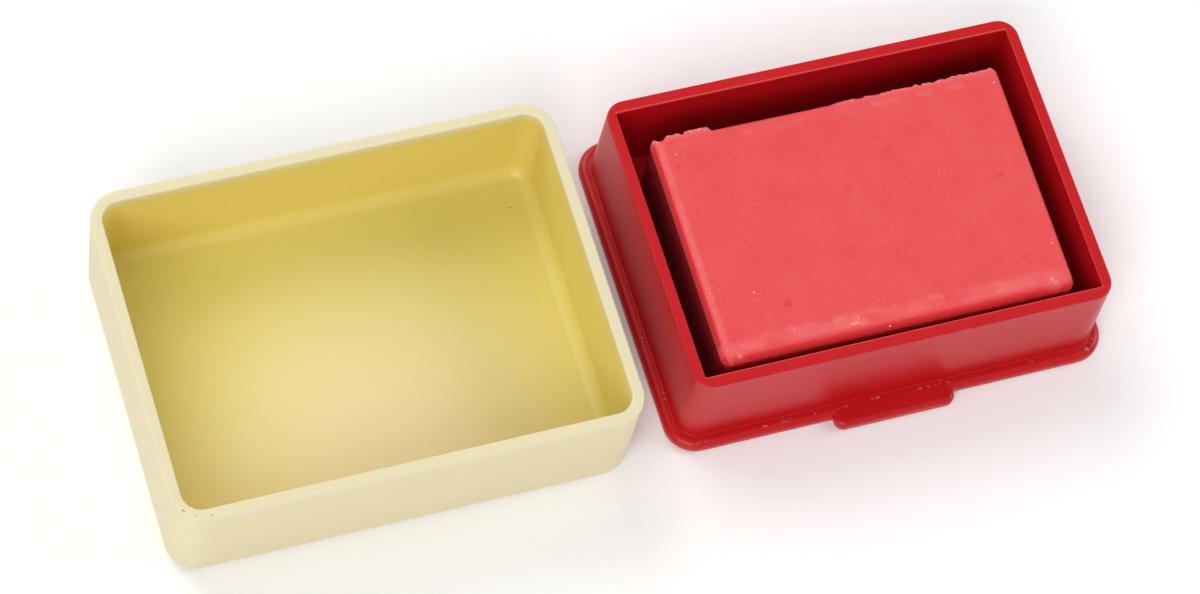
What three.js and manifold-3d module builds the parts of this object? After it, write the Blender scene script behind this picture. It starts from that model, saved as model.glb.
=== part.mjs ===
// A small ink pad: a red moulded tray with a foam ink pad in it, and a cream lid that has been
// lifted off, turned over and laid beside it. Millimetres, +Z up. The origin is the centre of
// the tray's underside; X runs along the long sides and -Y is the thumb-tab side.
import * as THREE from 'three';
import { mergeVertices } from 'three/addons/utils/BufferGeometryUtils.js';
import Module from 'manifold-3d';

const wasm = await Module();
wasm.setup();

// Tray
const FLANGE = { length: 42.4, width: 31.8, thickness: 1.2, radius: 2.9 };
const RIM = { length: 40.0, width: 29.2, top: 11.4, wall: 1.1, radius: 2.0 }; // at the top
const RIM_DRAFT = 0.17; // how far each outer wall face leans out between its top and the flange
const BORE_DRAFT = 0.08; // how far each inner wall face leans in between its top and the floor
const TAB = { length: 11.6, reach: 1.2, radius: 0.9 }; // thumb tab on the front long side

// Ink pad, bonded to the tray floor a little out of square
const PAD = { length: 33.6, width: 22.6, x: 0.0, y: -1.35, turn: -0.4 };
const PAD_RADIUS = 0.5;
const ADHESIVE = { inset: 0.8, thickness: 0.25 };
const FACE_THICKNESS = 0.8;
const FACE_BELOW_RIM = 0.3;
const LAYER_GAP = 0.05; // clearance between stacked layers

// Lid, measured at its mouth
const LID = { length: 43.0, width: 32.4, height: 11.9, wall: 1.1, roof: 1.2, radius: 2.9 };
const LID_BORE_RADIUS = 1.6;
const LID_DRAFT = 0.15; // how far each side leans in between the mouth and the closed end
const LID_GAP = 3.6; // floor between the tray's flange and the lid laid beside it

const ARC_STEPS = 8; // facets in a quarter-round corner

const finish = (color, roughness) =>
  new THREE.MeshStandardMaterial({ color, roughness, metalness: 0 });
const redPlastic = finish('#c01a22', 0.35);
const creamPlastic = finish('#efe3ac', 0.4);
const inkedFoam = finish('#7c1018', 0.9);
const inkedFace = finish('#e04a4c', 0.8);
const adhesiveFilm = finish('#d8d2c4', 0.6);

// A rectangle with round corners, centred on (x, y).
function roundedRectangle(length, width, radius, x = 0, y = 0) {
  const right = x + length / 2;
  const left = x - length / 2;
  const back = y + width / 2;
  const front = y - width / 2;
  const shape = new THREE.Shape();
  shape.absarc(right - radius, back - radius, radius, 0, Math.PI / 2);
  shape.absarc(left + radius, back - radius, radius, Math.PI / 2, Math.PI);
  shape.absarc(left + radius, front + radius, radius, Math.PI, 1.5 * Math.PI);
  shape.absarc(right - radius, front + radius, radius, 1.5 * Math.PI, 2 * Math.PI);
  shape.closePath();
  return shape;
}

// A rectangle with sharp corners, centred on the origin.
function rectangle(length, width) {
  const corners = [[1, 1], [-1, 1], [-1, -1], [1, -1]];
  return new THREE.Shape(
    corners.map(([sx, sy]) => new THREE.Vector2((sx * length) / 2, (sy * width) / 2)),
  );
}

// An upright prism from bottom to top. grow moves every side outwards at the top, which gives
// the faces their moulding draft.
function prism(shape, bottom, top, grow = 0) {
  const geometry = new THREE.ExtrudeGeometry(shape, {
    depth: top - bottom,
    bevelEnabled: false,
    curveSegments: ARC_STEPS,
  });
  const middle = (top - bottom) / 2;
  const points = geometry.attributes.position;
  for (let i = 0; i < points.count; i += 1) {
    if (grow === 0 || points.getZ(i) < middle) continue;
    points.setX(i, points.getX(i) + Math.sign(points.getX(i)) * grow);
    points.setY(i, points.getY(i) + Math.sign(points.getY(i)) * grow);
  }
  geometry.translate(0, 0, bottom);
  return geometry;
}

function toSolid(geometry) {
  geometry.deleteAttribute('normal');
  geometry.deleteAttribute('uv');
  const merged = mergeVertices(geometry, 1e-4);
  return new wasm.Manifold(
    new wasm.Mesh({
      numProp: 3,
      vertProperties: new Float32Array(merged.attributes.position.array),
      triVerts: new Uint32Array(merged.index.array),
    }),
  );
}

function toGeometry(solid) {
  const mesh = solid.getMesh();
  const geometry = new THREE.BufferGeometry();
  geometry.setAttribute('position', new THREE.BufferAttribute(mesh.vertProperties, 3));
  geometry.setIndex(new THREE.BufferAttribute(mesh.triVerts, 1));
  geometry.computeVertexNormals();
  return geometry;
}

function named(name, geometry, material) {
  const mesh = new THREE.Mesh(geometry, material);
  mesh.name = name;
  return mesh;
}

// One moulding: the base flange, its thumb tab and the upright rim wall round the pad's well.
function makeTray() {
  const plate = prism(
    roundedRectangle(FLANGE.length, FLANGE.width, FLANGE.radius),
    0,
    FLANGE.thickness,
  );
  const tabRoot = 2 * TAB.radius; // how far the tab's plate runs back into the flange
  const tabY = -FLANGE.width / 2 - TAB.reach / 2 + tabRoot / 2;
  const tab = prism(
    roundedRectangle(TAB.length, TAB.reach + tabRoot, TAB.radius, 0, tabY),
    0,
    FLANGE.thickness,
  );
  const wallFoot = FLANGE.thickness / 2; // the wall starts inside the plate, so the two join
  const wall = prism(
    roundedRectangle(RIM.length + 2 * RIM_DRAFT, RIM.width + 2 * RIM_DRAFT, RIM.radius),
    wallFoot,
    RIM.top,
    -RIM_DRAFT,
  );
  const wellLength = RIM.length - 2 * RIM.wall - 2 * BORE_DRAFT;
  const wellWidth = RIM.width - 2 * RIM.wall - 2 * BORE_DRAFT;
  const overshoot = 0.5; // the cutter stands proud of the rim
  const well = prism(
    rectangle(wellLength, wellWidth),
    FLANGE.thickness,
    RIM.top + overshoot,
    BORE_DRAFT,
  );
  const solid = toSolid(plate).add(toSolid(tab)).add(toSolid(wall)).subtract(toSolid(well));
  return named('tray', toGeometry(solid), redPlastic);
}

// Thin double-sided film that bonds the foam to the tray floor.
function makeAdhesive(bottom) {
  const shape = roundedRectangle(
    PAD.length - 2 * ADHESIVE.inset,
    PAD.width - 2 * ADHESIVE.inset,
    PAD_RADIUS,
  );
  return named('pad_adhesive', prism(shape, bottom, bottom + ADHESIVE.thickness), adhesiveFilm);
}

// The foam block that holds the ink.
function makeFoam(bottom, top) {
  const shape = roundedRectangle(PAD.length, PAD.width, PAD_RADIUS);
  return named('pad_foam', prism(shape, bottom, top), inkedFoam);
}

// The finer-celled layer on top, which the stamp touches.
function makeFace(bottom, top) {
  const shape = roundedRectangle(PAD.length, PAD.width, PAD_RADIUS);
  return named('pad_face', prism(shape, bottom, top), inkedFace);
}

// The three layers of the pad, stacked on the tray floor.
function makePad() {
  const adhesiveBottom = FLANGE.thickness + LAYER_GAP;
  const foamBottom = adhesiveBottom + ADHESIVE.thickness + LAYER_GAP;
  const faceTop = RIM.top - FACE_BELOW_RIM;
  const faceBottom = faceTop - FACE_THICKNESS;
  const pad = new THREE.Group();
  pad.add(makeAdhesive(adhesiveBottom));
  pad.add(makeFoam(foamBottom, faceBottom - LAYER_GAP));
  pad.add(makeFace(faceBottom, faceTop));
  pad.position.set(PAD.x, PAD.y, 0);
  pad.rotation.z = THREE.MathUtils.degToRad(PAD.turn);
  return pad;
}

// The lid, lying on its closed end with the mouth up. Its walls keep their thickness all the way.
function makeLid() {
  const shell = prism(
    roundedRectangle(LID.length - 2 * LID_DRAFT, LID.width - 2 * LID_DRAFT, LID.radius),
    0,
    LID.height,
    LID_DRAFT,
  );
  const boreLength = LID.length - 2 * LID.wall - 2 * LID_DRAFT;
  const boreWidth = LID.width - 2 * LID.wall - 2 * LID_DRAFT;
  const overshoot = 0.5; // the cutter stands proud of the mouth
  const bore = prism(
    roundedRectangle(boreLength, boreWidth, LID_BORE_RADIUS),
    LID.roof,
    LID.height + overshoot,
    LID_DRAFT,
  );
  const lid = named('lid', toGeometry(toSolid(shell).subtract(toSolid(bore))), creamPlastic);
  lid.position.x = -(FLANGE.length / 2 + LID_GAP + LID.length / 2);
  return lid;
}

const inkPad = new THREE.Group();
inkPad.name = 'ink_pad';
inkPad.add(makeTray());
inkPad.add(makePad());
inkPad.add(makeLid());

export default inkPad;
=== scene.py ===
"""A small ink pad for hand stamps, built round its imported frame: a red moulded tray with a foam
pad bonded in it, and a cream moulded lid lying open beside it. Metres, +Z up."""
import math
import random
from contextlib import contextmanager

import bmesh
import bpy
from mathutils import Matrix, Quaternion, Vector, noise


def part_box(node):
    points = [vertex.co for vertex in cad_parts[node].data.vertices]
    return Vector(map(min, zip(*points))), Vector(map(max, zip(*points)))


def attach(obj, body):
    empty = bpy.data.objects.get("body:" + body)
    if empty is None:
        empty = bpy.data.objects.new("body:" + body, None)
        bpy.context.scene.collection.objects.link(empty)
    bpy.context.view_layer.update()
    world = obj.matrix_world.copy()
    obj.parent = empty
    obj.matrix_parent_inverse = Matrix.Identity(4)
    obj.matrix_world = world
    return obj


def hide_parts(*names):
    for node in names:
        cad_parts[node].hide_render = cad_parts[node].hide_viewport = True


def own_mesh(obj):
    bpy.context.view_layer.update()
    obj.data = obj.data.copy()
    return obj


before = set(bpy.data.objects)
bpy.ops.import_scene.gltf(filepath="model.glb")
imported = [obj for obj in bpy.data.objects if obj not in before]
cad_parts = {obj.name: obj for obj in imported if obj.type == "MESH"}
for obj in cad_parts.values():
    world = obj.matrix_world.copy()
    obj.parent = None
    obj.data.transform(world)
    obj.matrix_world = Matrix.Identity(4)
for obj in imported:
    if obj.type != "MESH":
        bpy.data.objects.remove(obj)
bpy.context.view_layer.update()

MM = 0.001

# Tray, as the frame has it
FLANGE_THICKNESS = 1.2 * MM
FLANGE_RADIUS = 2.9 * MM
RIM_LENGTH = 40.0 * MM
RIM_WIDTH = 29.2 * MM
RIM_DRAFT = 0.17 * MM
RIM_WALL = 1.1 * MM
BORE_DRAFT = 0.08 * MM
TAB_LENGTH = 11.6 * MM
TAB_REACH = 1.2 * MM
TAB_RADIUS = 0.9 * MM

# The tray's edges
FLANGE_ROUND = 0.62 * MM  # the flange's rolled top edge
TAB_ROUND = 0.45 * MM
UNDERSIDE_ROUND = 0.28 * MM
WALL_FILLET = 0.1 * MM  # the soft corner where the rim wall meets the flange
WELL_CORNER_ROUND = 0.15 * MM  # the upright corners inside the rim, sharp to the eye
RIM_OUTER_ROUND = 0.13 * MM
RIM_INNER_ROUND = 0.11 * MM

# Lid, as the frame has it
LID_WALL = 1.1 * MM
LID_ROOF = 1.2 * MM
LID_RADIUS = 2.9 * MM
LID_DRAFT = 0.15 * MM

# The lid's edges
LID_INNER_ROUND = 1.3 * MM  # where its floor meets its walls
LID_OUTER_ROUND = 0.9 * MM  # round its closed end
MOUTH_OUTER_ROUND = 0.22 * MM
MOUTH_INNER_ROUND = 0.12 * MM

# The mark left where the plastic entered each mould
GATE_RADIUS = 1.3 * MM
GATE_DEPTH = 0.15 * MM

# Pad, as the frame has it
PAD_LENGTH = 33.6 * MM
PAD_WIDTH = 22.6 * MM
PAD_TURN = math.radians(-0.4)

# Tolerances for picking edges and faces
MOST_LEAN = 0.3 * MM  # of an upright edge, for the moulding draft
LEAST_RISE = 0.5 * MM  # of an upright edge
SAME_LEVEL = 0.02 * MM
FLAT = 0.9  # a level face's normal points up or down by more than this
STEEP = 0.5  # and an upright one's by less than this

tray_low, tray_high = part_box("tray")
lid_low, lid_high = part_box("lid")
foam_low, foam_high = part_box("pad_foam")
face_low, face_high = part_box("pad_face")
pad_middle = (face_low + face_high) / 2


# ---------------------------------------------------------------- modelling helpers


def only(piece):
    """Leaves edit mode and deselects everything, then selects the one piece, if there is one."""
    if bpy.context.mode != "OBJECT":
        bpy.ops.object.mode_set(mode="OBJECT")
    bpy.ops.object.select_all(action="DESELECT")
    if piece is not None:
        piece.select_set(True)
        bpy.context.view_layer.objects.active = piece


def settle(piece, name):
    """Puts the piece's place into its mesh and names it."""
    only(piece)
    bpy.ops.object.transform_apply(location=True, rotation=True, scale=True)
    piece.name = name
    piece.data.name = name
    return piece


def block(name, low, high):
    """A box between two corners."""
    only(None)
    low, high = Vector(low), Vector(high)
    bpy.ops.mesh.primitive_cube_add(size=1, location=(low + high) / 2, scale=high - low)
    return settle(bpy.context.object, name)


@contextmanager
def editing(piece, kind="EDGE"):
    """Edit mode on one piece, with nothing selected."""
    only(piece)
    bpy.ops.object.mode_set(mode="EDIT")
    bpy.ops.mesh.select_mode(type=kind)
    bpy.ops.mesh.select_all(action="DESELECT")
    yield
    bpy.ops.object.mode_set(mode="OBJECT")


def pick(piece, kind, wanted):
    """In edit mode, selects only the edges or faces that pass a test."""
    mesh = bmesh.from_edit_mesh(piece.data)
    mesh.normal_update()
    bpy.ops.mesh.select_all(action="DESELECT")
    for element in [element for element in getattr(mesh, kind) if wanted(element)]:
        element.select_set(True)
    bmesh.update_edit_mesh(piece.data)


def upright(edge):
    """True for an edge that runs up and down, give or take the draft, and isn't a tiny one."""
    run = edge.verts[0].co - edge.verts[1].co
    return max(abs(run.x), abs(run.y)) < MOST_LEAN and abs(run.z) > LEAST_RISE


def looks_up(face):
    return face.normal.z > FLAT


def outward(edge, middle):
    """True where the upright face beside this edge looks away from the middle of the piece."""
    centre = (edge.verts[0].co + edge.verts[1].co) / 2
    away = Vector((centre.x - middle.x, centre.y - middle.y, 0))
    side = sum((f.normal for f in edge.link_faces if abs(f.normal.z) < 0.7), Vector())
    return side.dot(away) > 0


def level_edge(edge, z):
    """True for an edge at a height where a level face meets an upright one."""
    at_height = all(abs(v.co.z - z) < SAME_LEVEL for v in edge.verts)
    tilts = sorted(abs(face.normal.z) for face in edge.link_faces)
    return at_height and len(tilts) == 2 and tilts[0] < STEEP and tilts[1] > FLAT


def round_edges(piece, wanted, radius, steps):
    """In edit mode, rounds off the edges that pass a test."""
    pick(piece, "edges", wanted)
    bpy.ops.mesh.bevel(
        offset=radius, offset_type="OFFSET", segments=steps, affect="EDGES", clamp_overlap=False
    )


def push(offset):
    """Extrudes the selected faces by an offset."""
    bpy.ops.mesh.extrude_region_move(TRANSFORM_OT_translate={"value": offset})


def stretch(grow, size, middle):
    """Moves the selected faces' sides outwards by grow, on a face of that size."""
    factors = (1 + 2 * grow / size[0], 1 + 2 * grow / size[1], 1)
    bpy.ops.transform.resize(value=factors, center_override=middle)


def apply_modifier(piece, kind, **settings):
    """Gives a piece a modifier with these settings and applies it."""
    only(piece)
    modifier = piece.modifiers.new(kind.title(), kind)
    for key, value in settings.items():
        setattr(modifier, key, value)
    bpy.ops.object.modifier_apply(modifier=modifier.name)


def join_shapes(piece, other, operation):
    """Adds the other shape to a piece, or takes it out of the piece, and deletes the other."""
    apply_modifier(piece, "BOOLEAN", object=other, operation=operation, solver="EXACT")
    bpy.data.objects.remove(other)


def shade_smooth(piece, angle):
    """Smooth shading over edges up to an angle, in degrees."""
    only(piece)
    bpy.ops.object.shade_smooth_by_angle(angle=math.radians(angle))


def shade_moulding(piece):
    """Smooth shading on the rounded edges, with the large flat faces kept flat."""
    shade_smooth(piece, 35)
    apply_modifier(piece, "WEIGHTED_NORMAL", keep_sharp=True, weight=80)


def finish_piece(piece, body, replaced=None):
    """Hands a finished piece to the frame: its body, and the CAD node it stands for, which it hides.
    """
    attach(piece, body)
    if replaced:
        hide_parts(replaced)


# ---------------------------------------------------------------- tray


def tray_plate():
    """The base flange: a flat plate with round corners."""
    low = (tray_low.x, tray_low.y + TAB_REACH, 0)
    plate = block("tray_shell", low, (tray_high.x, tray_high.y, FLANGE_THICKNESS))
    with editing(plate):
        round_edges(plate, upright, FLANGE_RADIUS, 20)
    return plate


def raise_wall(tray):
    """Draws the rim's block up out of the flange, leaning in by its draft. The flange's top is
    inset by the same margin all round, then brought to the width of the block's foot."""
    foot = (RIM_LENGTH + 2 * RIM_DRAFT, RIM_WIDTH + 2 * RIM_DRAFT)
    plate = (tray_high.x - tray_low.x, tray_high.y - tray_low.y - TAB_REACH)
    margin = (plate[0] - foot[0]) / 2
    inset = (foot[0], plate[1] - 2 * margin)
    with editing(tray, "FACE"):
        pick(tray, "faces", looks_up)
        bpy.ops.mesh.inset(thickness=margin, use_boundary=True)
        factors = (1, foot[1] / inset[1], 1)
        bpy.ops.transform.resize(value=factors, center_override=(0, 0, 0))
        push((0, 0, tray_high.z - FLANGE_THICKNESS))
        stretch(-RIM_DRAFT, foot, (0, 0, 0))


def add_tab(tray):
    """Adds the thumb tab: a small round-nosed plate that runs out of the flange's front edge."""
    half = TAB_LENGTH / 2
    nose = tray_low.y
    root = nose + TAB_REACH + 1.2 * FLANGE_ROUND  # inside the flange, past its rolled edge
    tab = block("tab", (-half, nose, 0), (half, root, FLANGE_THICKNESS))

    def nose_corner(edge):
        return upright(edge) and all(v.co.y < nose + SAME_LEVEL for v in edge.verts)

    def free_edge(edge, z):
        clear_of_root = any(v.co.y < root - SAME_LEVEL for v in edge.verts)
        return level_edge(edge, z) and clear_of_root

    with editing(tab):
        round_edges(tab, nose_corner, TAB_RADIUS, 10)
        round_edges(tab, lambda e: free_edge(e, FLANGE_THICKNESS), TAB_ROUND, 6)
        round_edges(tab, lambda e: free_edge(e, 0), UNDERSIDE_ROUND, 4)
    join_shapes(tray, tab, "UNION")


def hollow_well(tray):
    """Scores the wall's top face into a frame and pushes its middle down as the pad's well."""
    length = RIM_LENGTH - 2 * RIM_WALL
    width = RIM_WIDTH - 2 * RIM_WALL
    scores = [((x, 0, 0), (1, 0, 0)) for x in (-length / 2, length / 2)]
    scores += [((0, y, 0), (0, 1, 0)) for y in (-width / 2, width / 2)]

    def on_top(face):
        return looks_up(face) and face.calc_center_median().z > tray_high.z - SAME_LEVEL

    def in_the_middle(face):
        return on_top(face) and face.calc_center_median().xy.length < RIM_WALL

    with editing(tray, "FACE"):
        for point, normal in scores:
            pick(tray, "faces", on_top)
            bpy.ops.mesh.bisect(plane_co=point, plane_no=normal)
        pick(tray, "faces", in_the_middle)
        push((0, 0, FLANGE_THICKNESS - tray_high.z))
        stretch(-BORE_DRAFT, (length, width), (0, 0, 0))


def sink_gate_mark(piece, middle):
    """A shallow round recess on the underside."""
    only(None)
    bpy.ops.mesh.primitive_cylinder_add(
        vertices=32, radius=GATE_RADIUS, depth=2 * GATE_DEPTH, location=(middle.x, middle.y, 0)
    )
    join_shapes(piece, settle(bpy.context.object, "gate_cutter"), "DIFFERENCE")


def make_tray():
    """One moulding: the base flange with its thumb tab, the rim wall and the well inside it."""
    tray = tray_plate()
    raise_wall(tray)
    hollow_well(tray)
    centre = Vector((0, 0, 0))

    def well_corner(edge):
        return upright(edge) and not edge.is_convex and not outward(edge, centre)

    def rim_edge(edge, outer):
        return level_edge(edge, tray_high.z) and outward(edge, centre) == outer

    def flange_edge(edge, convex):
        return level_edge(edge, FLANGE_THICKNESS) and edge.is_convex == convex

    with editing(tray):
        round_edges(tray, well_corner, WELL_CORNER_ROUND, 3)
        round_edges(tray, lambda e: rim_edge(e, outer=True), RIM_OUTER_ROUND, 4)
        round_edges(tray, lambda e: rim_edge(e, outer=False), RIM_INNER_ROUND, 3)
        round_edges(tray, lambda e: flange_edge(e, convex=False), WALL_FILLET, 4)
        round_edges(tray, lambda e: flange_edge(e, convex=True), FLANGE_ROUND, 8)
        round_edges(tray, lambda e: level_edge(e, 0), UNDERSIDE_ROUND, 4)
    add_tab(tray)
    sink_gate_mark(tray, centre)
    shade_moulding(tray)
    finish_piece(tray, "tray", "tray")
    return tray


# ---------------------------------------------------------------- lid


def make_lid():
    """One moulding, upside down: its closed end on the table and its mouth up."""
    middle = (lid_low + lid_high) / 2
    size = lid_high - lid_low
    floor_point = (middle.x, middle.y, 0)
    lid = block("lid_shell", lid_low, lid_high)
    with editing(lid):
        round_edges(lid, upright, LID_RADIUS, 20)
    with editing(lid, "FACE"):
        pick(lid, "faces", lambda f: f.normal.z < -FLAT)
        stretch(-LID_DRAFT, size, floor_point)
        pick(lid, "faces", looks_up)
        bpy.ops.mesh.inset(thickness=LID_WALL, use_boundary=True)
        push((0, 0, LID_ROOF - lid_high.z))
        stretch(-LID_DRAFT, (size.x - 2 * LID_WALL, size.y - 2 * LID_WALL), floor_point)

    def mouth_edge(edge, outer):
        return level_edge(edge, lid_high.z) and outward(edge, middle) == outer

    with editing(lid):
        round_edges(lid, lambda e: level_edge(e, LID_ROOF), LID_INNER_ROUND, 10)
        round_edges(lid, lambda e: level_edge(e, 0), LID_OUTER_ROUND, 8)
        round_edges(lid, lambda e: mouth_edge(e, outer=True), MOUTH_OUTER_ROUND, 4)
        round_edges(lid, lambda e: mouth_edge(e, outer=False), MOUTH_INNER_ROUND, 3)
    sink_gate_mark(lid, middle)
    shade_moulding(lid)
    finish_piece(lid, "lid", "lid")
    return lid


# ---------------------------------------------------------------- pad

# The pad is shaped in its own frame, centred on its middle and square to its sides, in
# millimetres: u runs along it and v across it.
HALF_LENGTH = PAD_LENGTH / 2 / MM
HALF_WIDTH = PAD_WIDTH / 2 / MM
FRONT_CORNER = 0.7  # the radius of the two front corners, worn round
BACK_CORNER = 0.28  # and of the two back ones, still sharp

# Torn lips along the face's back edge: start, end, how far each stands out, and how far up
BACK_LIPS = (
    (-17.1, -16.0, 0.10, 0.30),
    (-15.7, -13.5, 0.32, 0.10),
    (-13.9, -10.9, 0.44, 0.10),
    (0.4, 5.2, 0.12, 0.03),
    (4.4, 8.9, 0.16, 0.04),
    (8.3, 9.5, 0.24, 0.10),
    (9.1, 12.7, 0.22, 0.05),
    (12.0, 14.9, 0.30, 0.08),
    (14.4, 16.8, 0.32, 0.08),
)

# Raised creases parallel to the long edges: start, end, how far across, height
CREASES = (
    (-13.5, 15.9, -9.4, 0.13),
    (-6.0, 16.2, -10.3, 0.05),
    (0.0, 15.5, 10.4, 0.11),
    (-15.0, -1.0, 10.3, 0.08),
)

# Small pits in the face: place along and across, radius, depth
PITS = (
    (-9.5, -7.0, 0.42, 0.09),
    (13.1, -7.5, 0.26, 0.08),
    (-12.0, -6.65, 0.22, 0.05),
    (-15.1, 8.4, 0.25, 0.07),
    (13.6, 0.9, 0.3, 0.07),
    (-0.6, 2.9, 0.24, 0.06),
    (-0.9, 9.6, 0.22, 0.05),
    (-10.6, -2.2, 0.35, 0.03),
    (4.1, 5.6, 0.4, 0.03),
    (9.4, 1.3, 0.35, 0.03),
    (1.8, -4.4, 0.35, 0.03),
)


def ease(x):
    """A smooth step from 0 to 1."""
    x = min(max(x, 0.0), 1.0)
    return x * x * (3 - 2 * x)


def span(x, start, end, soft):
    """1 between start and end, fading to 0 over a soft length inside each."""
    return ease((x - start) / soft) * ease((end - x) / soft)


def ripple(u, v, size, layer):
    """Smooth noise between about -1 and 1, with bumps of a given size. Each layer is another
    pattern."""
    return noise.noise(Vector((u / size, v / size, layer + 0.37)))


def slab(name, low, high, cell, rows):
    """A slab of the pad's outline: a fine grid on top, with walls drawn down from its edge in rows
    and one flat face underneath."""
    only(None)
    columns = round(PAD_LENGTH / cell)
    lanes = round(PAD_WIDTH / cell)
    bpy.ops.mesh.primitive_grid_add(
        x_subdivisions=columns, y_subdivisions=lanes, size=1, location=(0, 0, high)
    )
    piece = bpy.context.object
    piece.scale = (PAD_LENGTH, PAD_WIDTH, 1)
    settle(piece, name)
    with editing(piece):
        pick(piece, "edges", lambda e: e.is_boundary)
        step = (0, 0, (low - high) / rows)
        for _ in range(rows):
            bpy.ops.mesh.extrude_edges_move(TRANSFORM_OT_translate={"value": step})
        bpy.ops.mesh.edge_face_add()
        bpy.ops.mesh.select_all(action="SELECT")
        bpy.ops.mesh.normals_make_consistent(inside=False)
    return piece


def round_corner(u, v):
    """Draws a point of the square outline's corners in to a round one."""
    radius = FRONT_CORNER if v < 0 else BACK_CORNER
    a = (abs(u) - HALF_LENGTH + radius) / radius
    b = (abs(v) - HALF_WIDTH + radius) / radius
    if a <= 0 or b <= 0:
        return u, v
    new_u = HALF_LENGTH - radius + radius * a * math.sqrt(1 - b * b / 2)
    new_v = HALF_WIDTH - radius + radius * b * math.sqrt(1 - a * a / 2)
    return math.copysign(new_u, u), math.copysign(new_v, v)


def rolled_edge(u, v):
    """How far the face's top drops towards its edges: soft at the front, sharper at the back. Each
    edge has its reach inwards and its depth."""
    reach_u, deep_u = (0.55, 0.5) if u < 0 else (0.35, 0.3)
    reach_v, deep_v = (1.1, 0.75) if v < 0 else (0.2, 0.2)
    a = max(0.0, 1 - (HALF_LENGTH - abs(u)) / reach_u)
    b = max(0.0, 1 - (HALF_WIDTH - abs(v)) / reach_v)
    if a + b == 0:
        return 0.0
    deep = (a * deep_u + b * deep_v) / (a + b)
    tilt = min(1.0, math.hypot(a, b))
    return deep * (1 - math.sqrt(1 - tilt * tilt))


def back_lip(u):
    """How far the torn back edge stands out and up at a place along it."""
    out = 0.07 * ripple(u, 0, 2.1, 1) + 0.02 * ripple(u, 0, 0.5, 1)
    up = 0.0
    for start, end, reach, rise in BACK_LIPS:
        there = span(u, start, end, 0.55)
        out = max(out, there * reach)
        up = max(up, there * rise * (1 + 0.7 * ripple(u, 0, 0.6, 4)))
    torn = ease(out * 6)
    out += torn * (0.10 * ripple(u, 0, 0.8, 2) + 0.09 * ripple(u, 0, 0.33, 3))
    return out, up


def edge_wear_and_highlight(u, v):
    """How much paler the skin is along the left and front edges and at its front corners, 0 to 1:
    partly wear, partly a painted highlight on the rolled edges.
    """
    left = span(u + HALF_LENGTH, 0.25, 1.2, 0.35)
    front = span(v + HALF_WIDTH, 0.5, 2.0, 0.5)
    patchy = ease(0.62 + 1.2 * ripple(u, v, 2.2, 5))
    corner = max(
        ease(1 - math.hypot(u - 14.9, v + 10.4) / 1.3),
        ease(1 - math.hypot(u + 15.2, v + 10.7) / 0.9),
    )
    return max(0.65 * left * patchy, 0.6 * front * patchy, 0.8 * corner)


def crease_height(u, v):
    """How high the creases stand at a point: each wanders a little and breaks off here and there."""
    height = 0.0
    for start, end, across, rise in CREASES:
        line = across + 0.16 * ripple(u, 0, 3.0, across)
        broken = ease(0.5 + 1.5 * ripple(u, 0, 1.5, across + 7))
        height += rise * span(u, start, end, 1.5) * broken * math.exp(-(((v - line) / 0.3) ** 2))
    return height


def pit_marks(u, v):
    """How far the pits sink the skin at a point, and how much painted shade darkens it there,
    deeper pits darker, up to about 1.
    """
    sunk = 0.0
    pit_shade = 0.0
    for pit_u, pit_v, radius, deep in PITS:
        hollow = math.exp(-((math.hypot(u - pit_u, 1.6 * (v - pit_v)) / radius) ** 2))
        sunk += deep * hollow
        pit_shade = max(pit_shade, 9 * deep * hollow)
    return sunk, pit_shade


def sculpt_face(face):
    """Shapes the face's mesh and paints an attribute for its skin: 1 for wear and painted
    highlight, 0 whole, -1 for painted shade darkening the pits.
    """
    low, high = face_low.z / MM, face_high.z / MM
    wear_and_painted_light = face.data.attributes.new("wear_and_painted_light", "FLOAT", "POINT")
    for vertex in face.data.vertices:
        u, v = vertex.co.x / MM, vertex.co.y / MM
        depth = (high - vertex.co.z / MM) / (high - low)
        inward = HALF_WIDTH - v
        drop = rolled_edge(u, v)
        band = edge_wear_and_highlight(u, v)
        crease = crease_height(u, v)
        sunk, pit_shade = pit_marks(u, v)
        out, up = back_lip(u)

        # The skin: broad and small swellings, creases, a grain that is coarser where worn, pits
        swell = 0.035 * ripple(u, v, 6.0, 8) + 0.012 * ripple(u, v, 1.4, 9)
        grain = (0.01 + 0.025 * band) * ripple(u, v, 0.3, 10)
        relief = swell + crease + grain - sunk

        # The outline and the height, with the back edge torn out and up and the sides frayed
        near_back = ease(1 - inward / 0.9) * ease(1 - depth / 0.55)
        edge_line = math.exp(-((inward / 0.22) ** 2)) * (1 - depth)
        u, v = round_corner(u, v)
        z = high - drop - (high - drop - low) * depth
        if depth < 0.01:
            z += relief * ease((HALF_WIDTH - abs(v)) / 0.2 + 0.3)
        z += up * edge_line
        fuzz = 0.03 * ripple(u + v, z * 3, 0.3, 12) * ease(depth * 4) * ease((1 - depth) * 4)
        v += out * near_back
        vertex.co = Vector((u * (1 + fuzz / HALF_LENGTH), v * (1 + fuzz / HALF_WIDTH), z)) * MM

        # Paler where the skin wears, is raised or torn, and at the tip of the back left corner, the
        # edge band partly as a painted highlight; the pits are darkened as painted shade
        lip = min(1.0, 6 * max(0.0, out)) * math.exp(-((inward / 0.3) ** 2))
        tip = ease(1 - math.hypot(u + 16.4, v - 11.3) / 0.7)
        paled = band + 5 * crease + 1.1 * lip + tip
        wear_and_painted_light.data[vertex.index].value = max(-1.0, min(1.0, paled) - pit_shade)


def sculpt_foam(foam):
    """Gives the foam's cut sides a cellular unevenness and a slight waist."""
    low, high = foam_low.z / MM, foam_high.z / MM
    for vertex in foam.data.vertices:
        u, v, z = vertex.co / MM
        height = (z - low) / (high - low)
        edge = ease(height * 6) * ease((1 - height) * 6)
        waist = -0.10 * math.sin(math.pi * min(max(height, 0), 1))
        lumps = 0.05 * ripple(u + 0.7 * z, v + 0.7 * z, 0.8, 13)
        cells = 0.04 * ripple(u - z, v - z, 0.35, 14)
        shift = waist + edge * (lumps + cells)
        u, v = round_corner(u, v)
        vertex.co = Vector((u * (1 + shift / HALF_LENGTH), v * (1 + shift / HALF_WIDTH), z)) * MM


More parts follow.
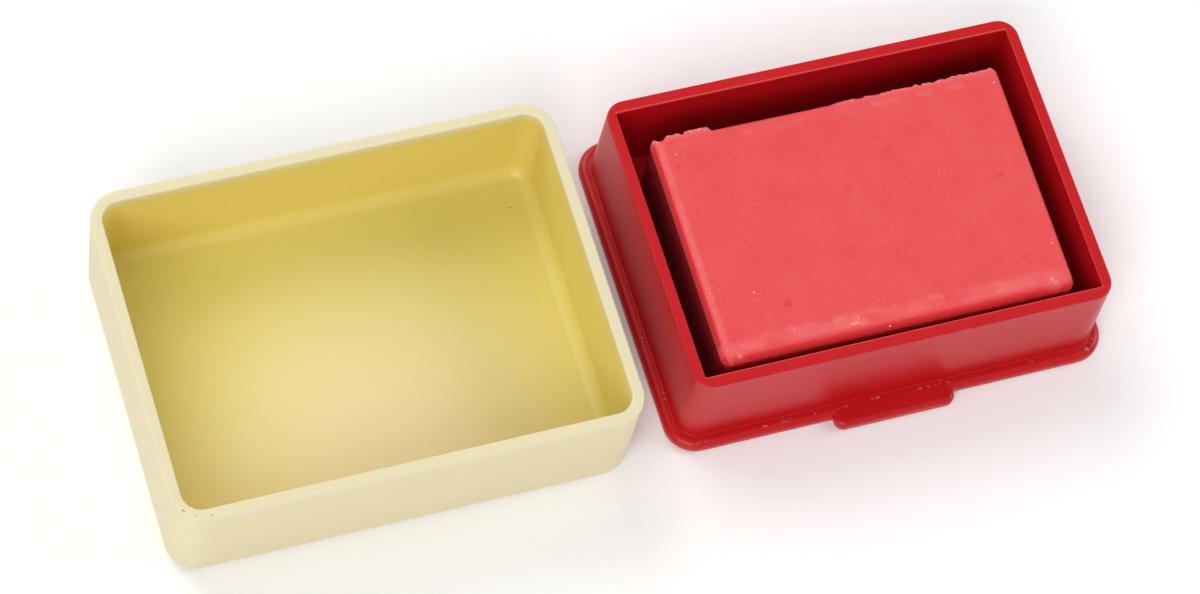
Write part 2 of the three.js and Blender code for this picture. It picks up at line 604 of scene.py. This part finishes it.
def lay_in_tray(piece):
    """Moves a piece shaped in the pad's frame to the pad's place."""
    piece.location = (pad_middle.x, pad_middle.y, 0)
    piece.rotation_euler.z = PAD_TURN
    settle(piece, piece.name)


def make_foam():
    """The block of open-cell foam under the face."""
    foam = slab("ink_foam", foam_low.z, foam_high.z, cell=0.3 * MM, rows=28)
    sculpt_foam(foam)
    lay_in_tray(foam)
    shade_smooth(foam, 50)
    finish_piece(foam, "tray", "pad_foam")
    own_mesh(foam)
    return foam


def make_face():
    """The fine-celled layer that the stamp touches."""
    face = slab("ink_face", face_low.z, face_high.z, cell=0.14 * MM, rows=6)
    sculpt_face(face)
    lay_in_tray(face)
    shade_smooth(face, 60)
    finish_piece(face, "pad_top", "pad_face")
    return face


# ---------------------------------------------------------------- crumbs of dried ink


def rough_crumb():
    """One rough crumb, a millimetre across, to copy."""
    only(None)
    bpy.ops.mesh.primitive_ico_sphere_add(subdivisions=2, radius=0.5 * MM, location=(0, 0, 0))
    crumb = bpy.context.object
    lumps = 2.6  # to the millimetre
    for vertex in crumb.data.vertices:
        vertex.co *= 1 + 0.5 * noise.noise(vertex.co / MM * lumps)
    return crumb


FULL_TURN = 6.3  # just over a turn, in radians


def scatter(name, grains, draw, flat=0.6):
    """One piece made of copies of the rough crumb. A grain is its place and width, in
    millimetres, and flat is its thickness as a part of its width."""
    crumb = rough_crumb()
    copies = []
    for x, y, z, width in grains:
        copy = crumb.copy()
        copy.data = crumb.data.copy()
        bpy.context.scene.collection.objects.link(copy)
        copy.location = Vector((x, y, z)) * MM
        copy.rotation_euler = [draw.uniform(0, FULL_TURN) for _ in range(3)]
        copy.scale = [width * draw.uniform(0.75, 1.25), width, width * flat]
        copies.append(copy)
    bpy.data.objects.remove(crumb)
    only(copies[0])
    for copy in copies:
        copy.select_set(True)
    bpy.ops.object.join()
    return settle(bpy.context.object, name)


# Crumbs along the foot of the tray's wall: middle, half spread along x and y, how many, width
TRAY_CRUMBS = (
    (-20.5, -3.2, 0.1, 0.5, 3, 0.14),
    (-20.65, -4.5, 0.08, 0.25, 3, 0.26),
    (-20.6, 6.9, 0.1, 0.3, 2, 0.13),
    (-20.4, -9.7, 0.1, 0.4, 3, 0.14),
    (-20.45, -10.6, 0.06, 0.12, 2, 0.2),
    (-18.2, -15.45, 0.75, 0.2, 12, 0.15),
    (-12.3, -15.4, 0.25, 0.05, 3, 0.2),
    (-10.3, -15.2, 0.5, 0.3, 16, 0.14),
    (-7.4, -15.3, 0.1, 0.05, 2, 0.2),
    (-5.1, -15.3, 0.7, 0.1, 5, 0.12),
    (-1.6, -15.2, 0.3, 0.07, 5, 0.24),
    (0.8, -16.3, 0.1, 0.05, 1, 0.16),
    (2.8, -15.25, 0.15, 0.06, 3, 0.24),
    (4.7, -15.25, 1.2, 0.06, 12, 0.13),
    (4.9, -14.95, 0.1, 0.04, 1, 0.14),
    (19.2, -15.1, 0.16, 0.14, 5, 0.34),
    (20.1, -14.4, 0.25, 0.15, 5, 0.15),
    (13.6, -15.2, 0.4, 0.1, 4, 0.1),
)


def ledge_height(x, y):
    """The flange's top at a point, in millimetres, with the fillet at the wall's foot."""
    beyond_x = abs(x) - (RIM_LENGTH / 2 + RIM_DRAFT) / MM
    beyond_y = abs(y) - (RIM_WIDTH / 2 + RIM_DRAFT) / MM
    beyond = max(beyond_x, beyond_y, 0.0)
    radius = WALL_FILLET / MM
    rest = max(0.0, radius - beyond)
    return FLANGE_THICKNESS / MM + radius - math.sqrt(radius * radius - rest * rest)


def make_tray_crumbs():
    """Crumbs that have fallen off the pad and dried on the flange, and one on the front rim."""
    draw = random.Random(4)
    grains = []
    for x, y, spread_x, spread_y, count, width in TRAY_CRUMBS:
        for _ in range(count):
            grain_x = x + draw.uniform(-spread_x, spread_x)
            grain_y = y + draw.uniform(-spread_y, spread_y)
            size = width * draw.uniform(0.6, 1.25)
            middle_z = ledge_height(grain_x, grain_y) + 0.12 * size  # sunk a little into the ledge
            grains.append((grain_x, grain_y, middle_z, size))
    on_rim = (-12.9, -14.5, tray_high.z / MM, 0.17)
    grains.append(on_rim)
    crumbs = scatter("ink_crumbs", grains, draw)
    finish_piece(crumbs, "tray")
    return crumbs


# Pale grains stuck to the face, in the pad's frame: place along and across, size
FACE_GRAINS = (
    (-14.9, 9.6, 0.22),
    (16.1, 10.1, 0.24),
    (5.3, 10.6, 0.2),
    (8.2, 2.7, 0.22),
    (-12.1, -5.2, 0.26),
    (-12.3, -5.95, 0.26),
    (-1.4, -8.55, 0.28),
    (-5.5, -9.2, 0.22),
    (-3.5, -9.6, 0.24),
    (-1.1, -11.2, 0.2),
    (-15.2, -10.9, 0.34),
    (6.3, -5.0, 0.22),
    (16.0, -6.75, 0.26),
    (4.5, -9.6, 0.2),
    (15.0, -10.7, 0.34),
    (-14.6, 5.9, 0.16),
)


def make_face_grains():
    """Small dried grains on the face, set into its skin."""
    draw = random.Random(11)
    turn = Quaternion((0, 0, 1), PAD_TURN)
    centre = pad_middle / MM
    grains = []
    for u, v, size in FACE_GRAINS:
        place = centre + turn @ Vector((u, v, 0))
        grains.append((place.x, place.y, face_high.z / MM, 0.8 * size))
    piece = scatter("face_grains", grains, draw, flat=0.5)
    finish_piece(piece, "pad_top")
    return piece


def make_lid_specks():
    """Tiny flecks of ink on the lid: four on its mouth near the front left corner, one inside."""
    draw = random.Random(7)
    corner = lid_low / MM
    mouth = lid_high.z / MM - 0.02
    grains = [
        (corner.x + 0.9, corner.y + 1.45, mouth, 0.2),
        (corner.x + 0.95, corner.y + 1.3, mouth, 0.15),
        (corner.x + 1.8, corner.y + 0.7, mouth, 0.15),
        (corner.x + 3.15, corner.y + 0.4, mouth, 0.2),
        (corner.x + 39.2, corner.y + 27.4, LID_ROOF / MM, 0.2),
    ]
    specks = scatter("lid_ink_specks", grains, draw, flat=0.4)
    finish_piece(specks, "lid")
    return specks


# ---------------------------------------------------------------- materials


def linear(hex_colour):
    """An sRGB hex colour as a linear RGBA value."""
    channels = [int(hex_colour[i : i + 2], 16) / 255 for i in (1, 3, 5)]
    lit = [c / 12.92 if c <= 0.04045 else ((c + 0.055) / 1.055) ** 2.4 for c in channels]
    return (*lit, 1.0)


def per(millimetres):
    """The texture scale whose features are about this long."""
    return 1 / (millimetres * MM)


def add(tree, kind, sockets=None, out=0, **settings):
    """Adds a node and returns one of its outputs. Its settings are set, and each input is linked
    to a socket or given a value."""
    node = tree.nodes.new("ShaderNode" + kind)
    for key, value in settings.items():
        setattr(node, key, value)
    for key, value in (sockets or {}).items():
        if isinstance(value, bpy.types.NodeSocket):
            tree.links.new(value, node.inputs[key])
        else:
            node.inputs[key].default_value = value
    return node.outputs[out]


# The sockets of a Mix node that mixes colours
FACTOR, FIRST, SECOND, MIXED = 0, 6, 7, 2


def start_material(name, **values):
    """A new material with its shader's own values set: underscores stand for spaces."""
    material = bpy.data.materials.new(name)
    material.use_nodes = True
    tree = material.node_tree
    shader = tree.nodes["Principled BSDF"]
    for key, value in values.items():
        shader.inputs[key.replace("_", " ")].default_value = value
    place = add(tree, "TexCoord", out="Object")
    return material, tree, shader, place


def around(tree, place, middle, radius):
    """1 at a point, in millimetres, fading to 0 at a radius."""
    offset = add(tree, "VectorMath", {0: place, 1: Vector(middle) * MM}, operation="SUBTRACT")
    distance = add(tree, "VectorMath", {0: offset}, "Value", operation="LENGTH")
    fade = {"Value": distance, "From Max": radius * MM, "To Min": 1.0, "To Max": 0.0}
    return add(tree, "MapRange", fade)


def on_rim_inner_edge(tree, place):
    """1 along the rounded inner edge of the rim's top, 0 on the rest of the tray."""
    bore = (RIM_LENGTH / 2 - RIM_WALL, RIM_WIDTH / 2 - RIM_WALL, tray_high.z)
    folded = add(tree, "VectorMath", {0: place}, operation="ABSOLUTE")
    past = add(tree, "VectorMath", {0: folded, 1: bore}, operation="SUBTRACT")
    past = add(tree, "SeparateXYZ", {0: past}).node.outputs
    from_bore = add(tree, "Math", {0: past["X"], 1: past["Y"]}, operation="MAXIMUM")
    near, far = 0.08 * MM, 0.16 * MM
    beside = {"Value": from_bore, "From Min": near, "From Max": far, "To Min": 1.0, "To Max": 0.0}
    below = {"Value": past["Z"], "From Min": -far, "From Max": -near}
    masks = {0: add(tree, "MapRange", beside), 1: add(tree, "MapRange", below)}
    return add(tree, "Math", masks, operation="MULTIPLY")


# Two marks on the flange's front right corner: where, in millimetres
BRUISE = (20.9, -15.6, 1.2)
SCUFF = (19.7, -15.1, 1.2)


def moulded_red_polystyrene():
    """Injection-moulded high-impact polystyrene, self-coloured: an even deep red with a soft
    shine, a faint waviness from the mould, fine rubbing marks, a light red painted highlight along
    the rim's inner edge, and one scuffed, bruised corner."""
    material, tree, shader, place = start_material(
        "moulded_red_polystyrene", IOR=1.45, Specular_IOR_Level=0.38
    )
    cloud = add(tree, "TexNoise", {"Vector": place, "Scale": per(9), "Detail": 2.0})
    drawn_out = add(tree, "Mapping", {"Vector": place, "Scale": (0.12, 1.0, 1.0)})
    streaks = add(tree, "TexNoise", {"Vector": drawn_out, "Scale": per(0.25), "Detail": 3.0})
    rubbed = add(tree, "MapRange", {"Value": streaks, "From Min": 0.60, "From Max": 0.78})
    blotches = add(tree, "TexNoise", {"Vector": place, "Scale": per(0.35), "Detail": 4.0})
    # A painted highlight: a light red line along the rim's inner edge.
    painted_rim_highlight = {"Value": on_rim_inner_edge(tree, place), "To Max": 0.5}
    scuff = {0: around(tree, place, SCUFF, 1.5), 1: streaks}
    scuff = add(tree, "Math", scuff, operation="MULTIPLY")
    scuffed = {"Value": scuff, "From Min": 0.30, "From Max": 0.42, "To Max": 0.55}
    bruise = {0: around(tree, place, BRUISE, 1.3), 1: blotches}
    bruise = add(tree, "Math", bruise, operation="MULTIPLY")
    bruised = {"Value": bruise, "From Min": 0.22, "From Max": 0.42, "To Max": 0.6}

    reds = {FACTOR: cloud, FIRST: linear("#B80F17"), SECOND: linear("#BF131A")}
    colour = add(tree, "Mix", reds, MIXED, data_type="RGBA")
    for mask, over in ((painted_rim_highlight, "#E8605F"), (scuffed, "#6E0A10"), (bruised, "#E58C8C")):
        layer = {FACTOR: add(tree, "MapRange", mask), FIRST: colour, SECOND: linear(over)}
        colour = add(tree, "Mix", layer, MIXED, data_type="RGBA")
    tree.links.new(colour, shader.inputs["Base Color"])
    dulled = add(tree, "MapRange", {"Value": rubbed, "To Min": 0.34, "To Max": 0.44})
    tree.links.new(dulled, shader.inputs["Roughness"])

    wave = add(tree, "TexNoise", {"Vector": place, "Scale": per(0.9), "Detail": 3.0})
    wavy = add(tree, "Bump", {"Height": wave, "Distance": 0.010 * MM, "Strength": 0.8})
    marked = add(tree, "Bump", {"Height": rubbed, "Distance": 0.002 * MM, "Normal": wavy})
    tree.links.new(marked, shader.inputs["Normal"])
    return material


def looks_out_of_lid(tree, place):
    """1 on the outside of the lid, its closed end included, and 0 on the inside."""
    middle = Vector(((lid_low.x + lid_high.x) / 2, 0, 0))
    offset = add(tree, "VectorMath", {0: place, 1: middle}, operation="SUBTRACT")
    sideways = add(tree, "VectorMath", {0: offset, 1: (1, 1, 0)}, operation="MULTIPLY")
    normal = add(tree, "TexCoord", out="Normal")
    away = add(tree, "VectorMath", {0: sideways, 1: normal}, "Value", operation="DOT_PRODUCT")
    height = add(tree, "SeparateXYZ", {0: place}, "Z")
    sides = {"Value": away, "From Min": 1 * MM, "From Max": 4 * MM}
    closed_end = {
        "Value": height,
        "From Min": 0.5 * LID_ROOF,
        "From Max": 0.8 * LID_ROOF,
        "To Min": 1.0,
        "To Max": 0.0,
    }
    masks = {0: add(tree, "MapRange", sides), 1: add(tree, "MapRange", closed_end)}
    return add(tree, "Math", masks, operation="MAXIMUM")


def moulded_cream_polypropylene():
    """Injection-moulded natural polypropylene, a little translucent: light bleeds through it, so
    it looks waxy, ivory outside. Its colour inside is painted light: a buttery pool of painted light
    in the middle of its floor, a deeper yellow painted up its inner walls and in the corners as
    painted shade, and a less yellow ivory painted round the mouth, where the thin rim looks lighter."""
    material, tree, shader, place = start_material(
        "moulded_cream_polypropylene",
        IOR=1.49,
        Subsurface_Weight=0.35,
        Subsurface_Radius=(1.0, 0.8, 0.4),
        Subsurface_Scale=2.0 * MM,
    )
    cloud = add(tree, "TexNoise", {"Vector": place, "Scale": per(11), "Detail": 2.0})
    tints = []
    # Three creams: the deep yellow is painted shade, the lighter cream painted light, and the ivory
    # the plastic's own colour.
    for first, second in (("#DCCA68", "#DFCE70"), ("#E9D6A2", "#EBD9A6"), ("#DACEA4", "#DED2A9")):
        pair = {FACTOR: cloud, FIRST: linear(first), SECOND: linear(second)}
        tints.append(add(tree, "Mix", pair, MIXED, data_type="RGBA"))
    deep, painted_light_cream, ivory = tints

    # A painted pool of light on the middle of the floor, a little towards the front.
    lid_centre = (lid_low.x + lid_high.x) / 2 / MM
    lit = around(tree, place, (lid_centre, -10.0, LID_ROOF / MM), 24.0)
    lit = add(tree, "MapRange", {"Value": lit, "From Min": 0.08, "From Max": 0.75})
    height = add(tree, "SeparateXYZ", {0: place}, "Z")
    rim = lid_high.z
    # A less yellow ivory painted round the mouth: painted light for the thin rim.
    mouth = {"Value": height, "From Min": rim - 1.3 * MM, "From Max": rim - 0.2 * MM}
    mouth = add(tree, "MapRange", mouth)
    colour = deep
    for mask, over in (
        (lit, painted_light_cream),
        (looks_out_of_lid(tree, place), ivory),
        (mouth, linear("#D9D1AF")),
    ):
        layer = {FACTOR: mask, FIRST: colour, SECOND: over}
        colour = add(tree, "Mix", layer, MIXED, data_type="RGBA")
    tree.links.new(colour, shader.inputs["Base Color"])

    haze = add(tree, "TexNoise", {"Vector": place, "Scale": per(0.6), "Detail": 3.0})
    hazy = {"Value": haze, "From Min": 0.3, "From Max": 0.7, "To Min": 0.36, "To Max": 0.46}
    tree.links.new(add(tree, "MapRange", hazy), shader.inputs["Roughness"])
    wave = add(tree, "TexNoise", {"Vector": place, "Scale": per(1.2), "Detail": 3.0})
    wavy = add(tree, "Bump", {"Height": wave, "Distance": 0.010 * MM, "Strength": 0.8})
    tree.links.new(wavy, shader.inputs["Normal"])
    return material


def inked_fine_foam():
    """Fine-celled ink-soaked foam, matt and faintly mottled: the skin dries to a chalky salmon,
    paler along its left and front edges and flecked there with light grains, partly wear and partly
    a painted highlight on the rolled edges; its pits are darkened with painted shade; and it is
    painted deep red down its sides, partly the skin's own colour and partly painted light that
    leaves its top paler than its sides."""
    material, tree, shader, place = start_material(
        "inked_fine_foam", Roughness=0.78, Sheen_Weight=0.12, Sheen_Roughness=0.5, IOR=1.4
    )
    mottle = add(tree, "TexNoise", {"Vector": place, "Scale": per(3.2), "Detail": 4.0})
    cells = add(tree, "TexVoronoi", {"Vector": place, "Scale": per(0.2), "Randomness": 1.0})
    fibre = add(tree, "TexNoise", {"Vector": place, "Scale": per(0.35), "Detail": 4.0})
    speckle = add(tree, "TexNoise", {"Vector": place, "Scale": per(0.24), "Detail": 2.0})
    wear_and_painted_light = add(tree, "Attribute", out="Fac", attribute_name="wear_and_painted_light")
    normal = add(tree, "TexCoord", out="Normal")
    facing = add(tree, "SeparateXYZ", {0: normal}, "Z")

    # The skin, with a finer grain in it and painted shade darkening its pits
    broad = add(tree, "MapRange", {"Value": mottle, "From Min": 0.3, "From Max": 0.7})
    salmons = {FACTOR: broad, FIRST: linear("#D84246"), SECOND: linear("#DC494B")}
    skin = add(tree, "Mix", salmons, MIXED, data_type="RGBA")
    grainy = {"Value": fibre, "From Min": 0.35, "From Max": 0.75, "To Max": 0.35}
    # Painted shade: the pits are darkened, the deeper ones more.
    painted_pit_shade = {"Value": wear_and_painted_light, "From Min": -1.0, "From Max": 0.0, "To Min": 0.7, "To Max": 0.0}
    for mask, over in ((grainy, "#E35A5B"), (painted_pit_shade, "#A82632")):
        layer = {FACTOR: add(tree, "MapRange", mask), FIRST: skin, SECOND: linear(over)}
        skin = add(tree, "Mix", layer, MIXED, data_type="RGBA")

    # Red where it turns down at the sides, along a frayed line: partly the skin's own colour,
    # partly painted light that leaves the upward faces paler than the sides
    frayed = {0: speckle, 1: 0.15, 2: facing}
    frayed = add(tree, "Math", frayed, operation="MULTIPLY_ADD")
    upward = add(tree, "MapRange", {"Value": frayed, "From Min": 0.92, "From Max": 1.02})
    sides = {FACTOR: upward, FIRST: linear("#D2222A"), SECOND: skin}
    colour = add(tree, "Mix", sides, MIXED, data_type="RGBA")

    # Paler along the edge band, and flaked into light grains where it is most so: partly wear,
    # partly a painted highlight on the rolled edges
    chips_and_glints = add(tree, "Math", {0: wear_and_painted_light, 1: 0.5, 2: speckle}, operation="MULTIPLY_ADD")
    chips_and_glints = add(tree, "MapRange", {"Value": chips_and_glints, "From Min": 0.92, "From Max": 1.1})
    paled = {"Value": wear_and_painted_light, "To Max": 0.42}
    chipped_and_glinting = {"Value": chips_and_glints, "To Max": 0.8}
    for mask, over in ((paled, "#F08280"), (chipped_and_glinting, "#F8A09A")):
        layer = {FACTOR: add(tree, "MapRange", mask), FIRST: colour, SECOND: linear(over)}
        colour = add(tree, "Mix", layer, MIXED, data_type="RGBA")
    tree.links.new(colour, shader.inputs["Base Color"])

    pores = add(tree, "MapRange", {"Value": cells, "From Max": 0.6})
    porous = add(tree, "Bump", {"Height": pores, "Distance": 0.02 * MM, "Strength": 0.6})
    felted = add(tree, "Bump", {"Height": fibre, "Distance": 0.04 * MM, "Normal": porous})
    raised = add(tree, "Bump", {"Height": chips_and_glints, "Distance": 0.03 * MM, "Normal": felted})
    tree.links.new(raised, shader.inputs["Normal"])
    return material


def inked_open_foam():
    """Cut open-cell foam full of ink: wet dark red with small round cells of about half a
    millimetre that catch a little light on their rims, and a brighter red painted down the top of
    its front side, painted light on the side that faces the front."""
    material, tree, shader, place = start_material("inked_open_foam", Roughness=0.6, IOR=1.4)
    cells = add(tree, "TexVoronoi", {"Vector": place, "Scale": per(0.5), "Randomness": 1.0})
    rims = add(tree, "MapRange", {"Value": cells, "From Min": 0.25, "From Max": 0.7})
    wet = {FACTOR: rims, FIRST: linear("#7E141E"), SECOND: linear("#95202B")}
    wet = add(tree, "Mix", wet, MIXED, data_type="RGBA")
    normal = add(tree, "TexCoord", out="Normal")
    across = add(tree, "SeparateXYZ", {0: normal}, "Y")
    # Painted light: a brighter red on the upper part of the front-facing side only.
    front = {"Value": across, "From Min": -0.9, "From Max": -0.6, "To Min": 1.0, "To Max": 0.0}
    height = add(tree, "SeparateXYZ", {0: place}, "Z")
    top = foam_high.z
    upper = {"Value": height, "From Min": top - 1.65 * MM, "From Max": top - 0.25 * MM}
    masks = {0: add(tree, "MapRange", front), 1: add(tree, "MapRange", upper)}
    run = add(tree, "Math", masks, operation="MULTIPLY")
    painted_front_light = {FACTOR: run, FIRST: wet, SECOND: linear("#D2262E")}
    colour = add(tree, "Mix", painted_front_light, MIXED, data_type="RGBA")
    tree.links.new(colour, shader.inputs["Base Color"])
    holes = add(tree, "Bump", {"Height": rims, "Distance": 0.05 * MM, "Strength": 0.6})
    tree.links.new(holes, shader.inputs["Normal"])
    return material


def bonding_film():
    """Double-sided tissue tape: thin, milky and faintly fibrous."""
    material, tree, shader, place = start_material("bonding_film", Roughness=0.55, IOR=1.47)
    fibre = add(tree, "TexNoise", {"Vector": place, "Scale": per(0.8), "Detail": 6.0})
    milky = {FACTOR: fibre, FIRST: linear("#CFC8BA"), SECOND: linear("#E2DDD2")}
    colour = add(tree, "Mix", milky, MIXED, data_type="RGBA")
    tree.links.new(colour, shader.inputs["Base Color"])
    return material


def dried_ink(name, dark, light):
    """Ink dried on crumbs of foam: chalky and rough, lighter on its high spots."""
    material, tree, shader, place = start_material(name, Roughness=0.7, IOR=1.45)
    chalk = add(tree, "TexNoise", {"Vector": place, "Scale": per(0.12), "Detail": 3.0})
    level = add(tree, "MapRange", {"Value": chalk, "From Min": 0.3, "From Max": 0.7})
    chalky = {FACTOR: level, FIRST: linear(dark), SECOND: linear(light)}
    colour = add(tree, "Mix", chalky, MIXED, data_type="RGBA")
    tree.links.new(colour, shader.inputs["Base Color"])
    grit = add(tree, "Bump", {"Height": chalk, "Distance": 0.02 * MM, "Strength": 0.8})
    tree.links.new(grit, shader.inputs["Normal"])
    return material


def white_table():
    """Smooth matt white card, even and only just grained."""
    material, tree, shader, place = start_material("matt_white_card", Roughness=0.7, IOR=1.45)
    fibre = add(tree, "TexNoise", {"Vector": place, "Scale": per(1.5), "Detail": 4.0})
    whites = {FACTOR: fibre, FIRST: linear("#F7F7F7"), SECOND: linear("#FAFAFA")}
    colour = add(tree, "Mix", whites, MIXED, data_type="RGBA")
    tree.links.new(colour, shader.inputs["Base Color"])
    return material


def paint(piece, material):
    """Gives a piece one material in place of any that it has."""
    piece.data.materials.clear()
    piece.data.materials.append(material)


# ---------------------------------------------------------------- stage, light, camera


TABLE_SIZE = 4
TABLE_DROP = 0.02 * MM  # keeps its top and the pieces' undersides out of one plane


def make_stage():
    """A plain white table."""
    only(None)
    bpy.ops.mesh.primitive_plane_add(size=TABLE_SIZE, location=(0, 0, -TABLE_DROP))
    table = settle(bpy.context.object, "table")
    paint(table, white_table())


def soft_light(name, place, size, power):
    """A round soft white light that looks at the middle of the scene."""
    lamp = bpy.data.lights.new(name, "AREA")
    lamp.shape = "DISK"
    lamp.size = size
    lamp.energy = power
    holder = bpy.data.objects.new(name, lamp)
    holder.location = place
    holder.rotation_mode = "QUATERNION"
    holder.rotation_quaternion = (-Vector(place)).to_track_quat("-Z", "Y")
    holder.visible_camera = False
    bpy.context.scene.collection.objects.link(holder)


def make_light():
    """Even studio light: a large soft key behind, and fills in front and from the right."""
    world = bpy.data.worlds.new("studio")
    world.use_nodes = True
    background = world.node_tree.nodes["Background"]
    background.inputs["Color"].default_value = linear("#FFFFFF")
    background.inputs["Strength"].default_value = 0.38
    bpy.context.scene.world = world
    soft_light("key_softbox", place=(-0.26, 0.62, 0.62), size=0.7, power=4.1)
    soft_light("front_fill", place=(-0.42, -0.55, 0.58), size=0.6, power=4.3)
    soft_light("right_fill", place=(0.70, -0.05, 0.46), size=0.5, power=2.5)
    bpy.context.scene.view_settings.view_transform = "Standard"


CAMERA_PLACE = Vector((-120.9, -156.6, 374.0)) * MM
CAMERA_TARGET = Vector((-24.15, -1.05, 5.0)) * MM
CAMERA_ROLL = math.radians(16.43)
CAMERA_LENS = 137.0  # in millimetres, as is the sensor
CAMERA_SENSOR = 36.0


def make_camera():
    """A camera above the front left of the tray, rolled about its own axis."""
    data = bpy.data.cameras.new("camera")
    data.sensor_width = CAMERA_SENSOR
    data.lens = CAMERA_LENS
    data.clip_start = 0.01
    data.clip_end = 20
    camera = bpy.data.objects.new("camera", data)
    camera.location = CAMERA_PLACE
    camera.rotation_mode = "QUATERNION"
    aim = (CAMERA_TARGET - CAMERA_PLACE).to_track_quat("-Z", "Y")
    camera.rotation_quaternion = aim @ Quaternion((0, 0, 1), CAMERA_ROLL)
    bpy.context.scene.collection.objects.link(camera)
    bpy.context.scene.camera = camera


make_camera()
make_stage()
make_light()

paint(make_tray(), moulded_red_polystyrene())
paint(make_lid(), moulded_cream_polypropylene())
paint(make_foam(), inked_open_foam())
paint(make_face(), inked_fine_foam())
paint(make_tray_crumbs(), dried_ink("dried_ink_crumbs", "#C8323A", "#E4787A"))
paint(make_face_grains(), dried_ink("dried_pale_grains", "#EE8482", "#FAB2A8"))
paint(make_lid_specks(), dried_ink("dried_dark_ink", "#7A3A22", "#A5603C"))
paint(bpy.data.objects["pad_adhesive"], bonding_film())
